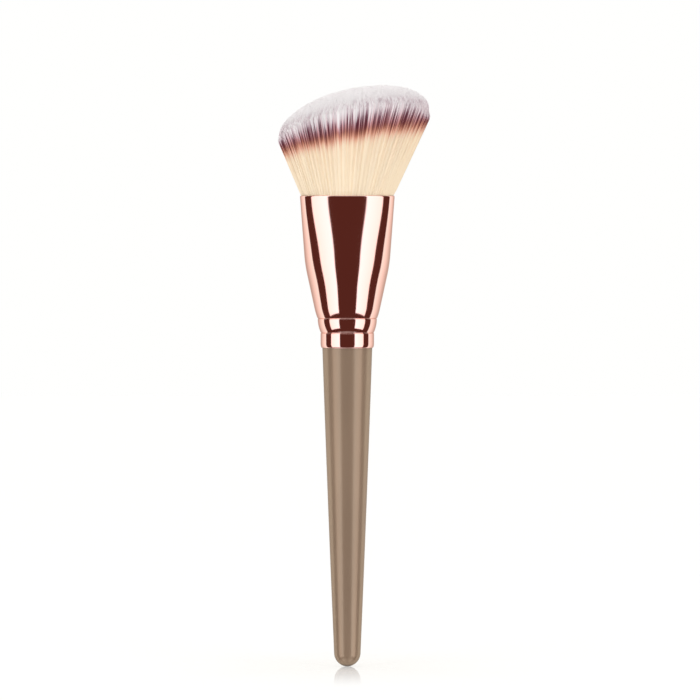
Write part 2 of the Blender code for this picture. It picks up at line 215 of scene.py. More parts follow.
# %% Start a mesh and a material
def put_in_mesh(name, points, face_sets, material):
    """Writes points, and arrays of faces that have one number of corners each, into a smooth mesh object."""
    mesh = bpy.data.meshes.new(name)
    mesh.vertices.add(len(points))
    mesh.vertices.foreach_set("co", np.asarray(points, np.float32).ravel())
    corners = np.concatenate([faces.ravel() for faces in face_sets]).astype(np.int32)
    totals = np.concatenate([np.full(len(faces), faces.shape[1]) for faces in face_sets])
    mesh.loops.add(len(corners))
    mesh.loops.foreach_set("vertex_index", corners)
    mesh.polygons.add(len(totals))
    mesh.polygons.foreach_set("loop_start", (np.cumsum(totals) - totals).astype(np.int32))
    mesh.update(calc_edges=True)
    mesh.shade_smooth()
    mesh.materials.append(material)
    piece = bpy.data.objects.new(name, mesh)
    scene.collection.objects.link(piece)
    print(f"{name}: {len(points)} points, {int((totals - 2).sum())} triangles")
    return piece


def new_material(name):
    """A material with one Principled BSDF, and its tree's nodes, links and that shader."""
    material = bpy.data.materials.new(name)
    material.use_nodes = True
    tree = material.node_tree
    return material, tree.nodes, tree.links, tree.nodes["Principled BSDF"]


# %% [markdown]
# ## The floor
# The floor is a plain pale board. Polished boards mirror what stands on them, and here the mirror image of
# the handle's tip shows for about 5 mm and fades away. A floor that is glossy all over would mirror the
# whole brush, so its gloss fades with the distance from the foot. The board is hidden from the metal's
# reflections, which then show only the ring of panels.

# %% Mix the pale board
BOARD, BOARD_ROUGHNESS = (0.64, 0.64, 0.63, 1.0), 0.9
BOARD_GLOW, GLOW_STRENGTH = 0.68, 1.1
MIRROR_TINT, MIRROR_ROUGHNESS = (1.0, 0.97, 0.92, 1.0), 0.03
MIRROR_REACH, MIRROR_SHARE = 0.062, 0.45

material, nodes, links, shader = new_material("pale_board")
shader.inputs["Base Color"].default_value = BOARD
shader.inputs["Roughness"].default_value = BOARD_ROUGHNESS
shader.inputs["Specular IOR Level"].default_value = 0.0
glow = nodes.new("ShaderNodeEmission")
glow.inputs["Color"].default_value = (*CAMERA_WHITE, 1.0)
glow.inputs["Strength"].default_value = GLOW_STRENGTH
mirror = nodes.new("ShaderNodeBsdfGlossy")
mirror.inputs["Color"].default_value = MIRROR_TINT
mirror.inputs["Roughness"].default_value = MIRROR_ROUGHNESS
place = nodes.new("ShaderNodeTexCoord")
away = nodes.new("ShaderNodeVectorMath")
away.operation = "LENGTH"
fade = nodes.new("ShaderNodeMapRange")
fade.interpolation_type = "SMOOTHSTEP"
fade.inputs["From Max"].default_value = MIRROR_REACH
fade.inputs["To Min"].default_value = MIRROR_SHARE
fade.inputs["To Max"].default_value = 0.0
links.new(place.outputs["Object"], away.inputs[0])
links.new(away.outputs["Value"], fade.inputs["Value"])
plain = nodes.new("ShaderNodeMixShader")
plain.inputs["Fac"].default_value = BOARD_GLOW
links.new(shader.outputs["BSDF"], plain.inputs[1])
links.new(glow.outputs["Emission"], plain.inputs[2])
glossy = nodes.new("ShaderNodeMixShader")
links.new(fade.outputs["Result"], glossy.inputs["Fac"])
links.new(plain.outputs["Shader"], glossy.inputs[1])
links.new(mirror.outputs["BSDF"], glossy.inputs[2])
links.new(glossy.outputs["Shader"], nodes["Material Output"].inputs["Surface"])
print(f"the board mirrors {100 * MIRROR_SHARE:.0f} % at the foot, none from {1000 * MIRROR_REACH:.0f} mm on")

# %% Lay the floor
FLOOR_HALF = 2.0
corners = np.array([(-1, -1, 0), (1, -1, 0), (1, 1, 0), (-1, 1, 0)]) * FLOOR_HALF
floor = put_in_mesh("floor", corners, [np.array([[0, 1, 2, 3]])], material)
floor.visible_glossy = False

# %% [markdown]
# ## The handle
# The handle is turned from beech on a lathe and dipped in a taupe lacquer until the grain is gone. It is one
# long taper with a hint of a belly, and its end is half an egg. A scaled cylinder would have neither, so the
# half outline is worked out as a formula and turned round the axis: the radius grows from the end to the
# neck in proportion to the height, plus a small swell that is greatest half-way up. Above the neck follows
# the bare tenon that is glued into the ferrule.

# %% Work out the handle's outline
LIP_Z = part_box("ferrule")[0].z
MOUTH_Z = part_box("ferrule")[1].z
TENON_TOP_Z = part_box("handle")[1].z
END_RADIUS, END_HEIGHT = 0.0040, 0.0042
NECK_RADIUS = 0.00752
SWELL_SHARE = 0.12
NECK_ENTRY = 0.0012
TENON_RADIUS = 0.00737
TENON_CHAMFER = 0.0008
END_RINGS, TAPER_RINGS = 40, 110


def handle_outline():
    """Rows of (z, radius): a quarter ellipse, the taper and the tenon.

    On the taper the radius is the end radius plus the growth times (t + swell t (1 - t)).
    """
    a = np.linspace(0, math.pi / 2, END_RINGS)[1:-1]
    end = np.stack([END_HEIGHT * (1 - np.cos(a)), END_RADIUS * np.sin(a)], axis=1)
    t = np.linspace(0, 1, TAPER_RINGS)
    z = END_HEIGHT + t * (LIP_Z - END_HEIGHT)
    taper = np.stack([z, END_RADIUS + (NECK_RADIUS - END_RADIUS) * (t + SWELL_SHARE * t * (1 - t))], axis=1)
    step = NECK_RADIUS - TENON_RADIUS
    tenon = np.array([
        (LIP_Z + NECK_ENTRY, NECK_RADIUS), (LIP_Z + NECK_ENTRY + step, TENON_RADIUS),
        (TENON_TOP_Z - TENON_CHAMFER, TENON_RADIUS), (TENON_TOP_Z, TENON_RADIUS - TENON_CHAMFER),
    ])
    return np.concatenate([end, taper, tenon])


handle_rows = handle_outline()
print(f"handle: {len(handle_rows)} rings, {2000 * handle_rows[:, 1].max():.2f} mm across at the neck")

# %% [markdown]
# This lacquer holds a fine pearl pigment: its reflections are broad and taupe themselves. A clear coat alone
# would mirror the panels in hard white stripes, and paint alone would look like chalk. So the base is partly
# metallic, which tints what it mirrors, at a roughness that drifts a little, and only a trace of clear coat
# lies on it. A dipped coat is never quite even either: a very low wide bump makes the stripes waver, and the
# colour drifts by a few hundredths. Over the lowest millimetre of the end the colour is painted darker, as
# painted shade at the bottom. The bare wood of the tenon has rings that are stretched along the grain.

# %% Patterns and relief for a material
def noise(nodes, links, scale, detail=3.0, stretch=(1.0, 1.0, 1.0)):
    """Noise on Object coordinates. A stretch above 1 packs the noise closer along that axis."""
    place = nodes.new("ShaderNodeTexCoord")
    mapping = nodes.new("ShaderNodeMapping")
    mapping.inputs["Scale"].default_value = stretch
    texture = nodes.new("ShaderNodeTexNoise")
    texture.inputs["Scale"].default_value = scale
    texture.inputs["Detail"].default_value = detail
    links.new(place.outputs["Object"], mapping.inputs["Vector"])
    links.new(mapping.outputs["Vector"], texture.inputs["Vector"])
    return texture.outputs["Fac"]


def spread(nodes, links, value, low, high):
    """Turns a value that runs from 0 to 1 into one that runs from low to high."""
    remap = nodes.new("ShaderNodeMapRange")
    remap.inputs["To Min"].default_value = low
    remap.inputs["To Max"].default_value = high
    links.new(value, remap.inputs["Value"])
    return remap.outputs["Result"]


def bump(nodes, links, shader, height, depth, strength=1.0):
    """Raises the surface by a height field that is worth so many metres at 1."""
    node = nodes.new("ShaderNodeBump")
    node.inputs["Distance"].default_value = depth
    node.inputs["Strength"].default_value = strength
    links.new(height, node.inputs["Height"])
    links.new(node.outputs["Normal"], shader.inputs["Normal"])


# %% Choose the lacquer's colours and gloss
TAUPE = (0.335, 0.245, 0.171)
# The third factor and the first height paint shade: they darken the colour over the lowest millimetre of the
# end.
LIGHTER, DARKER, END_PAINTED_SHADE = 1.04, 0.96, 0.42
END_SHADE_HEIGHT, PAINT_EDGE = 0.0011, 0.0002
WOOD_LIGHT, WOOD_DARK = (0.62, 0.43, 0.26), (0.42, 0.26, 0.14)
COLOUR_DRIFT, GLOSS_DRIFT = (90, 2.0, (1.0, 1.0, 0.35)), (70, 0.0)
WOOD_FIBRES, WAVES = (900, 6.0, (1.0, 1.0, 0.06)), (260, 1.0, (1.0, 1.0, 0.4))
WAVE_HEIGHT, WAVE_STRENGTH = 0.00002, 0.5
PEARL, PEARL_ROUGHNESS = 0.34, (0.27, 0.30)
COAT, COAT_ROUGHNESS, COAT_IOR = 0.04, 0.16, 4.0


def shaded(colour, factor):
    """A colour times a factor."""
    return tuple(factor * channel for channel in colour)


# The colour of the painted shade at the bottom of the end.
print("the drip is", [round(channel, 3) for channel in shaded(TAUPE, END_PAINTED_SHADE)])

# %% Mix the taupe lacquer
lacquer, nodes, links, shader = new_material("taupe_lacquer")
drift = noise(nodes, links, *COLOUR_DRIFT)
taupe = ramp(nodes, links, drift, [(0.3, shaded(TAUPE, DARKER)), (0.7, shaded(TAUPE, LIGHTER))])
fibres = noise(nodes, links, *WOOD_FIBRES)
grain = ramp(nodes, links, fibres, [(0.35, WOOD_DARK), (0.65, WOOD_LIGHT)])
place = nodes.new("ShaderNodeTexCoord")
height = nodes.new("ShaderNodeSeparateXYZ")
links.new(place.outputs["Object"], height.inputs["Vector"])
bare = nodes.new("ShaderNodeMapRange")
bare.inputs["From Min"].default_value = LIP_Z + NECK_ENTRY
bare.inputs["From Max"].default_value = LIP_Z + NECK_ENTRY + PAINT_EDGE
links.new(height.outputs["Z"], bare.inputs["Value"])
# Painted shade: the colour darkens smoothly towards the bottom of the end, below the height set above.
painted_end_shade = nodes.new("ShaderNodeMapRange")
painted_end_shade.interpolation_type = "SMOOTHSTEP"
painted_end_shade.inputs["From Max"].default_value = END_SHADE_HEIGHT
links.new(height.outputs["Z"], painted_end_shade.inputs["Value"])
taupe = mix_colour(nodes, links, painted_end_shade.outputs["Result"], shaded(TAUPE, END_PAINTED_SHADE), taupe)
links.new(mix_colour(nodes, links, bare.outputs["Result"], taupe, grain), shader.inputs["Base Color"])
pearl = spread(nodes, links, noise(nodes, links, *GLOSS_DRIFT), *PEARL_ROUGHNESS)
links.new(pearl, shader.inputs["Roughness"])
links.new(spread(nodes, links, bare.outputs["Result"], PEARL, 0.0), shader.inputs["Metallic"])
links.new(spread(nodes, links, bare.outputs["Result"], COAT, 0.0), shader.inputs["Coat Weight"])
shader.inputs["Coat Roughness"].default_value = COAT_ROUGHNESS
shader.inputs["Coat IOR"].default_value = COAT_IOR
shader.inputs["Specular IOR Level"].default_value = 0.0
bump(nodes, links, shader, noise(nodes, links, *WAVES), WAVE_HEIGHT, WAVE_STRENGTH)
print("the lacquer ends", round(1000 * NECK_ENTRY, 2), "mm inside the ferrule")

# %% [markdown]
# To turn the outline into a surface, each of its rows becomes a ring of points, and quads join each ring to
# the next. A fan of triangles closes each end. The ferrule is made in the same way, but its rings are
# ellipses and its last ring joins the first, and the core of the hair reuses the quads and the fans.

# %% Rings, the quads between them and the fans at the ends
def elliptic_rings(heights, half_widths, half_depths, sides):
    """Points of a stack of ellipses: x = half width times cos, y = half depth times sin, z = height."""
    turn = np.arange(sides) * (2 * math.pi / sides)
    x = np.outer(half_widths, np.cos(turn))
    y = np.outer(half_depths, np.sin(turn))
    z = np.repeat(np.asarray(heights)[:, None], sides, axis=1)
    return np.stack([x, y, z], axis=-1).reshape(-1, 3)


def ring_quads(rings, sides, closed=False):
    """Quads between each ring and the next. Point j of ring i has the number i times sides plus j."""
    i = np.arange(rings if closed else rings - 1)[:, None]
    j = np.arange(sides)[None, :]
    low, high, beside = i * sides, (i + 1) % rings * sides, (j + 1) % sides
    return np.stack([low + j, low + beside, high + beside, high + j], axis=-1).reshape(-1, 4)


def fan_triangles(first, sides, tip, facing_up):
    """Triangles that close a ring of points, starting at number first, to one tip point."""
    j = np.arange(sides)
    here, beside = first + j, first + (j + 1) % sides
    pair = (here, beside) if facing_up else (beside, here)
    return np.stack([np.full(sides, tip), *pair], axis=-1)


# %% Turn the handle
HANDLE_SIDES = 128
rings = elliptic_rings(handle_rows[:, 0], handle_rows[:, 1], handle_rows[:, 1], HANDLE_SIDES)
ends = np.array([(0, 0, 0), (0, 0, TENON_TOP_Z)])
foot, top = len(rings), len(rings) + 1
faces = ring_quads(len(handle_rows), HANDLE_SIDES)
end_fan = fan_triangles(0, HANDLE_SIDES, foot, facing_up=False)
top_fan = fan_triangles(len(rings) - HANDLE_SIDES, HANDLE_SIDES, top, facing_up=True)
handle = put_in_mesh("lacquered_handle", np.concatenate([rings, ends]), [faces, end_fan, top_fan], lacquer)
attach(handle, "root")
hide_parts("handle")

# %% [markdown]
# ## The ferrule
# A ferrule starts as a round drawn tube. Two rings are rolled into it and leave a bead between them, the
# upper end is flared to a cone, and the top of the cone is then pressed flat from the front and the back.
# Its section is therefore a circle below and an ellipse above, and a lathe alone can't make it. Each ring of
# the grid is an ellipse, whose half width follows the cone and whose half depth is less of the same along a
# smooth step. The reflections show every kink, so each edge of the outline is rounded, and the rolled rings
# are as fine as the real ones.

# %% Repeat the ferrule's sizes
WALL = 0.0003
BAND_RADIUS = 0.00807
BEAD_RADIUS = 0.00892
FLARE_RADIUS = 0.00927
LOWER_CRIMP_Z = LIP_Z + 0.00450
UPPER_CRIMP_Z = LIP_Z + 0.00883
CRIMP_HALF = 0.00018
CRIMP_DEPTH = 0.00013
FLARE_Z = UPPER_CRIMP_Z + CRIMP_HALF
SHOULDER_Z = LIP_Z + 0.0250
SHOULDER_HALF_WIDTH = 0.01275
SHOULDER_ROUNDING = 0.0030
PRESS_Z = LIP_Z + 0.0185
MOUTH_HALF_WIDTH = 0.01428
MOUTH_HALF_DEPTH = 0.0091
FOOT_ROUNDING = 0.0028
FOOT_INSET = 0.00022
LIP_ROUND_HEIGHT, LIP_ROUND_DEPTH = 0.0015, 0.00028
LIP_EDGE = 0.0001
MOUTH_ROUND_HEIGHT, MOUTH_ROUND_DEPTH = 0.0005, 0.0002
EDGE_RINGS, LIP_RINGS, BAND_RINGS, CRIMP_RINGS, BEAD_RINGS = 10, 18, 10, 25, 44
FOOT_RINGS, FLARE_RINGS, MOUTH_RINGS, INSIDE_RINGS = 20, 80, 12, 40
print(f"ferrule {1000 * (MOUTH_Z - LIP_Z):.1f} mm long, {2000 * BEAD_RADIUS:.1f} mm across the bead")

# %% The flare from round to oval
def flare_half_width(z):
    """Two straight runs with a parabola between them, less an inset that rounds the flare's foot."""
    low = (SHOULDER_HALF_WIDTH - FLARE_RADIUS) / (SHOULDER_Z - FLARE_Z)
    high = (MOUTH_HALF_WIDTH - SHOULDER_HALF_WIDTH) / (MOUTH_Z - SHOULDER_Z)
    past = z - SHOULDER_Z
    bend = np.clip(past + SHOULDER_ROUNDING, 0, 2 * SHOULDER_ROUNDING)
    width = SHOULDER_HALF_WIDTH + low * past - (low - high) * bend ** 2 / (4 * SHOULDER_ROUNDING)
    width = width - (low - high) * np.maximum(0, past - SHOULDER_ROUNDING)
    return width - foot_inset(z)


def flare_half_depth(z):
    """The half width while the flare is round, then less of it along a smooth step up to the mouth."""
    t = np.clip((z - PRESS_Z) / (MOUTH_Z - PRESS_Z), 0, 1)
    return flare_half_width(z) * (1 - (1 - MOUTH_HALF_DEPTH / MOUTH_HALF_WIDTH) * t * t * (3 - 2 * t))


def foot_inset(z):
    """How far the rounding draws the flare in: the square of what is left of the rounding's height."""
    return FOOT_INSET * np.clip(1 - (z - FLARE_Z) / FOOT_ROUNDING, 0, 1) ** 2


# %% The round socket
def socket_outline():
    """Rows of (z, radius) of the round part: lip, band, lower crimp, parabolic bead and upper crimp."""
    a = np.linspace(0, math.pi / 2, EDGE_RINGS)[-2::-1]
    edge = np.stack([
        LIP_Z + LIP_EDGE * (1 - np.sin(a)),
        BAND_RADIUS - LIP_ROUND_DEPTH - LIP_EDGE * np.cos(a),
    ], axis=1)
    a = np.linspace(0, math.pi / 2, LIP_RINGS)
    lip = np.stack([
        LIP_Z + LIP_EDGE + (LIP_ROUND_HEIGHT - LIP_EDGE) * (1 - np.cos(a)),
        BAND_RADIUS - LIP_ROUND_DEPTH * (1 - np.sin(a)),
    ], axis=1)
    z = np.linspace(LIP_Z + LIP_ROUND_HEIGHT, LOWER_CRIMP_Z - CRIMP_HALF, BAND_RINGS)[1:-1]
    band = np.stack([z, np.full(len(z), BAND_RADIUS)], axis=1)
    t = np.linspace(0, 1, BEAD_RINGS)[1:-1]
    bead_start, bead_end = LOWER_CRIMP_Z + CRIMP_HALF, UPPER_CRIMP_Z - CRIMP_HALF
    swell = (BEAD_RADIUS - BAND_RADIUS) * (1 - (1 - t) ** 2)
    bead = np.stack([bead_start + (bead_end - bead_start) * t, BAND_RADIUS + swell], axis=1)
    lower = crimp(LOWER_CRIMP_Z, BAND_RADIUS, BAND_RADIUS)
    upper = crimp(UPPER_CRIMP_Z, BEAD_RADIUS, FLARE_RADIUS - FOOT_INSET)
    return np.concatenate([edge, lip, band, lower, bead, upper])


def crimp(middle, before, after):
    """Rows across a rolled ring: it sinks by depth times the squared cosine of the place across it."""
    t = np.linspace(-1, 1, CRIMP_RINGS)
    edge = before + (after - before) * (t + 1) / 2
    return np.stack([middle + t * CRIMP_HALF, edge - CRIMP_DEPTH * np.cos(t * math.pi / 2) ** 2], axis=1)


# %% Work out the ferrule's outline
def ferrule_outline():
    """Rows of (z, half width, half depth) up the outside, over the mouth and down the inside."""
    socket = socket_outline()
    z = np.concatenate([
        np.linspace(FLARE_Z, FLARE_Z + FOOT_ROUNDING, FOOT_RINGS)[1:],
        np.linspace(FLARE_Z + FOOT_ROUNDING, MOUTH_Z - MOUTH_ROUND_HEIGHT, FLARE_RINGS)[1:],
    ])
    flare = np.stack([z, flare_half_width(z), flare_half_depth(z)], axis=1)
    a = np.linspace(0, math.pi / 2, MOUTH_RINGS)[1:]
    z = MOUTH_Z - MOUTH_ROUND_HEIGHT * (1 - np.sin(a))
    inset = MOUTH_ROUND_DEPTH * (1 - np.cos(a))
    mouth = np.stack([z, flare_half_width(z) - inset, flare_half_depth(z) - inset], axis=1)
    z = np.linspace(MOUTH_Z, FLARE_Z, INSIDE_RINGS)
    inside = np.stack([z, flare_half_width(z) - WALL, flare_half_depth(z) - WALL], axis=1)
    bore = np.array([(z, BAND_RADIUS - WALL) for z in (UPPER_CRIMP_Z, LIP_Z + LIP_EDGE)])
    return np.concatenate([socket[:, [0, 1, 1]], flare, mouth, inside, bore[:, [0, 1, 1]]])


ferrule_rows = ferrule_outline()
print(f"ferrule: {len(ferrule_rows)} rings, mouth {2000 * MOUTH_HALF_WIDTH:.2f} mm wide")

# %% [markdown]
# The finish is anodised rose gold. On a metal the base colour tints the reflections themselves, so it is
# judged where the metal mirrors plain white. Polishing wheels run round the tube and leave fine lines along
# that direction, which are too faint to see and yet soften the edges of the stripes: a noise that is packed
# closely along the axis drives a little roughness and a bump of two thousandths of a millimetre.

# %% Polish the rose gold
ROSE_GOLD = (0.855, 0.558, 0.500)
GLANCING_TINT = (0.90, 0.70, 0.62, 1.0)
POLISHING_LINES = (150, 3.0, (1.0, 1.0, 60.0))
GOLD_ROUGHNESS = (0.05, 0.10)
LINE_HEIGHT, LINE_STRENGTH = 0.000002, 0.3

gold, nodes, links, shader = new_material("rose_gold")
shader.inputs["Base Color"].default_value = (*ROSE_GOLD, 1.0)
shader.inputs["Metallic"].default_value = 1.0
shader.inputs["Specular Tint"].default_value = GLANCING_TINT
lines = noise(nodes, links, *POLISHING_LINES)
links.new(spread(nodes, links, lines, *GOLD_ROUGHNESS), shader.inputs["Roughness"])
bump(nodes, links, shader, lines, LINE_HEIGHT, LINE_STRENGTH)
print("roughness of the polished metal runs from", *GOLD_ROUGHNESS)

# %% Press the ferrule
FERRULE_SIDES = 192
points = elliptic_rings(ferrule_rows[:, 0], ferrule_rows[:, 1], ferrule_rows[:, 2], FERRULE_SIDES)
faces = ring_quads(len(ferrule_rows), FERRULE_SIDES, closed=True)
ferrule = put_in_mesh("rose_gold_ferrule", points, [faces], gold)
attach(ferrule, "root")
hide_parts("ferrule")

# %% [markdown]
# ## The shape of the tuft
# Hair in a pressed ferrule leaves the oval mouth in straight lines that fan out, a lot to the left and right
# and a little to the front and back, and then it is cut to a dome that climbs to one side. So two formulas
# give the whole tuft. The first says where a line of hair is at a height above the mouth, and the second
# says how high the dome stands over a place. Where a line meets the dome has no simple formula, so the
# height is found for all hairs at once by halving an interval again and again. The front and back rims are
# trimmed a little lower, because a real cut leaves soft shoulders there and no edge.

# %% The fan
FIELD_HALF_WIDTH = 0.01373
FIELD_HALF_DEPTH = 0.00855
LEFT_SPREAD = math.tan(math.radians(22.0))
RIGHT_SPREAD = math.tan(math.radians(25.6))
FRONT_SPREAD = math.tan(math.radians(8.8))
BULGE = 0.00017
BULGE_HEIGHT = 0.0008

FAN_REACH = 2 * FIELD_HALF_WIDTH / (LEFT_SPREAD + RIGHT_SPREAD)
FAN_MIDDLE = FIELD_HALF_WIDTH - FAN_REACH * RIGHT_SPREAD
FAN_SIDE_REACH = FIELD_HALF_DEPTH / FRONT_SPREAD


def fan(x, y, height):
    """A line of hair: it swells out over the mouth's rim, and its distance from the fan's middle grows."""
    swell = BULGE * (1 - np.exp(-np.maximum(height, 0) / BULGE_HEIGHT))
    x = x + swell * x / FIELD_HALF_WIDTH
    y = y + swell * y / FIELD_HALF_DEPTH
    return FAN_MIDDLE + (x - FAN_MIDDLE) * (1 + height / FAN_REACH), y * (1 + height / FAN_SIDE_REACH)


print(f"seen from the front, the lines of hair meet {1000 * FAN_REACH:.0f} mm under the mouth")

# %% The dome and where it cuts each line
SLANT = math.tan(math.radians(10.1))
DOME_BASE, DOME_RISE = 0.0220, 0.0105
DOME_HALF_WIDTH, DOME_HALF_DEPTH = 0.0227, 0.0176
DOME_MIDDLE = 0.00225
RIM_START, RIM_DROP = 0.60, 0.0026
HALVINGS = 36


def dome(x, y):
    """A slanted line plus the rise times an ellipse's quarter arc, which goes on downwards past its end."""
    cap = 1 - ((x - DOME_MIDDLE) / DOME_HALF_WIDTH) ** 2 - (y / DOME_HALF_DEPTH) ** 2
    return DOME_BASE + (x - DOME_MIDDLE) * SLANT + DOME_RISE * np.sign(cap) * np.sqrt(np.abs(cap))


def cut_height(x, y):
    """The height at which each line of hair meets the dome, by halving the interval that holds it."""
    low, high = np.zeros_like(x), np.full_like(x, 2 * (DOME_BASE + DOME_RISE))
    for _ in range(HALVINGS):
        middle = (low + high) / 2
        under = middle < dome(*fan(x, y, middle))
        low, high = np.where(under, middle, low), np.where(under, high, middle)
    return (low + high) / 2


def trimmed_height(x, y):
    """The cut height less a drop towards the front and back rims, which rounds the tuft's shoulders."""
    u, v = x / FIELD_HALF_WIDTH, y / FIELD_HALF_DEPTH
    radius = np.maximum(np.hypot(u, v), 1e-9)
    rim = np.clip((radius - RIM_START) / (1 - RIM_START), 0, 1) ** 2 * (v / radius) ** 2
    return cut_height(x, y) - RIM_DROP * rim


edge = trimmed_height(np.array([-FIELD_HALF_WIDTH, FIELD_HALF_WIDTH]), np.zeros(2))
print(f"hair is {1000 * edge[0]:.1f} mm long at the left edge and {1000 * edge[1]:.1f} mm at the right")

# %% [markdown]
# ## The dye
# The fibres are cream, and before they were cut, a band of dark plum brown was dyed across them. Below the
# band the dye has crept down evenly and left orange and tan. Above it the locks differ: on some the dye
# wicked up as a dark spike, on others the bleach came right down to the band, and the tips are pale on all.
# One gradient along the height would look like paint, and random colours would look like fur, so two
# gradients are mixed. Each hair carries two values in its UV map: V is its distance from the band, stretched
# where its dye wicked further, and U says how pale its lock is. V is read from both gradients, the dyed one
# and the pale one, and U mixes them. The stops stand at distances in millimetres.

# %% Mix the dye
BAND_BELOW, BAND_ABOVE = 0.030, 0.018
HAIR_ROUGHNESS, HAIR_SHINE = 0.55, 0.25
CREAM, PALE_CREAM = (0.974, 0.850, 0.655), (0.984, 0.868, 0.676)
DYED_STOPS = (
    (-30.0, CREAM), (-13.0, CREAM), (-5.5, (0.955, 0.795, 0.595)), (-4.2, (0.93, 0.72, 0.54)),
    (-3.2, (0.82, 0.51, 0.355)), (-2.3, (0.60, 0.27, 0.18)), (-1.4, (0.35, 0.12, 0.08)),
    (-0.5, (0.20, 0.05, 0.048)), (0.3, (0.155, 0.033, 0.044)), (1.3, (0.145, 0.033, 0.052)),
    (2.2, (0.19, 0.065, 0.093)), (3.0, (0.35, 0.205, 0.255)), (3.8, (0.63, 0.525, 0.565)),
    (5.0, (0.78, 0.730, 0.752)), (7.0, (0.87, 0.845, 0.852)), (10.0, (0.945, 0.94, 0.94)),
)
PALE_STOPS = (
    (-30.0, PALE_CREAM), (-5.0, PALE_CREAM), (-3.6, (0.95, 0.76, 0.60)), (-2.4, (0.90, 0.58, 0.44)),
    (-1.4, (0.77, 0.39, 0.28)), (-0.5, (0.61, 0.27, 0.22)), (0.3, (0.62, 0.30, 0.30)),
    (1.2, (0.725, 0.42, 0.45)), (2.2, (0.82, 0.63, 0.67)), (3.4, (0.87, 0.78, 0.80)),
    (5.5, (0.915, 0.89, 0.90)), (10.0, (0.962, 0.957, 0.957)),
)


def along_hair(stops):
    """Turns distances from the band in millimetres into shares of the V range."""
    whole = BAND_BELOW + BAND_ABOVE
    return [((BAND_BELOW + millimetres / 1000) / whole, colour) for millimetres, colour in stops]


hair_dye, nodes, links, shader = new_material("dyed_hair")
own = nodes.new("ShaderNodeUVMap")
own.uv_map = "OFBake"
parts = nodes.new("ShaderNodeSeparateXYZ")
links.new(own.outputs["UV"], parts.inputs["Vector"])
dyed = ramp(nodes, links, parts.outputs["Y"], along_hair(DYED_STOPS), smooth=False)
pale = ramp(nodes, links, parts.outputs["Y"], along_hair(PALE_STOPS), smooth=False)
links.new(mix_colour(nodes, links, parts.outputs["X"], dyed, pale), shader.inputs["Base Color"])
shader.inputs["Roughness"].default_value = HAIR_ROUGHNESS
shader.inputs["Specular IOR Level"].default_value = HAIR_SHINE
print(len(DYED_STOPS) + len(PALE_STOPS), "stops of dye")

# %% [markdown]
# ## The core under the hair
# Nobody sees the middle of a tuft, and filling it with hairs would cost millions of faces. A solid core
# stands there instead, a little inside the sides and a little under the dome, in the colours of the hair over
# it. It is a grid too: rings up the side follow the fan, and rings over the top draw in to one point. Its
# colours come from the dyed gradient, read along a height that is slanted as the band is.

# %% Carry the dye's colours through the core
BAND_LINE = (0.0195, 0.19, -2.6)
SHADY, SUNNY = (0.90, 0.90, 0.90), (1.0, 1.0, 1.0)
STREAKS, CORE_GRAIN = (1400, 2.0, (1.0, 1.0, 0.04)), 600
CORE_ROUGHNESS = (0.6, 0.8)


def band_height(x):
    """The dark line's height over the mouth: a constant, a slope times x and a curvature times x squared."""
    return BAND_LINE[0] + BAND_LINE[1] * x + BAND_LINE[2] * x * x


core_dye, nodes, links, shader = new_material("dyed_hair_core")
place = nodes.new("ShaderNodeTexCoord")
slanted = nodes.new("ShaderNodeVectorMath")
slanted.operation = "DOT_PRODUCT"
slanted.inputs[1].default_value = (-BAND_LINE[1], 0.0, 1.0)
links.new(place.outputs["Object"], slanted.inputs[0])
level = nodes.new("ShaderNodeMapRange")
level.inputs["From Min"].default_value = MOUTH_Z + BAND_LINE[0] - BAND_BELOW
level.inputs["From Max"].default_value = MOUTH_Z + BAND_LINE[0] + BAND_ABOVE
links.new(slanted.outputs["Value"], level.inputs["Value"])
under = ramp(nodes, links, level.outputs["Result"], along_hair(DYED_STOPS), smooth=False)
streaks = ramp(nodes, links, noise(nodes, links, *STREAKS), [(0.3, SHADY), (0.7, SUNNY)])
links.new(mix_colour(nodes, links, 1.0, under, streaks, "MULTIPLY"), shader.inputs["Base Color"])
rough = spread(nodes, links, noise(nodes, links, CORE_GRAIN), *CORE_ROUGHNESS)
links.new(rough, shader.inputs["Roughness"])
print(f"the band climbs by {math.degrees(math.atan(BAND_LINE[1])):.1f} degrees")

# %% Grow the core
CORE_SIDES = 128
CORE_INSET = 0.0007
CORE_SHORT = 0.0017
CORE_ROOT = 0.004
CORE_SIDE_RINGS, CORE_TOP_RINGS = 40, 30


def core_points():
    """Rings at equal shares of each line's length up the side, then rings that shrink to the top."""
    turn = np.arange(CORE_SIDES) * (2 * math.pi / CORE_SIDES)
    x = (FIELD_HALF_WIDTH - CORE_INSET) * np.cos(turn)
    y = (FIELD_HALF_DEPTH - CORE_INSET) * np.sin(turn)
    rows = []
    for share in np.linspace(0, 1, CORE_SIDE_RINGS):
        height = share * (trimmed_height(x, y) - CORE_SHORT) - (1 - share) * CORE_ROOT
        rows.append(np.stack([*fan(x, y, height), MOUTH_Z + height], axis=1))
    for share in np.linspace(1, 0, CORE_TOP_RINGS)[1:-1]:
        height = trimmed_height(x * share, y * share) - CORE_SHORT
        rows.append(np.stack([*fan(x * share, y * share, height), MOUTH_Z + height], axis=1))
    return np.concatenate(rows), len(rows)


points, rows = core_points()
first_ring = points[:CORE_SIDES]
peak_height = trimmed_height(np.zeros(1), np.zeros(1))[0] - CORE_SHORT
ends = np.array([first_ring.mean(axis=0), (*fan(0.0, 0.0, peak_height), MOUTH_Z + peak_height)])
foot, peak = len(points), len(points) + 1
faces = ring_quads(rows, CORE_SIDES)
foot_fan = fan_triangles(0, CORE_SIDES, foot, facing_up=False)
peak_fan = fan_triangles(foot - CORE_SIDES, CORE_SIDES, peak, facing_up=True)
core = put_in_mesh("hair_core", np.concatenate([points, ends]), [faces, foot_fan, peak_fan], core_dye)
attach(core, "root")
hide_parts("hair_tuft")

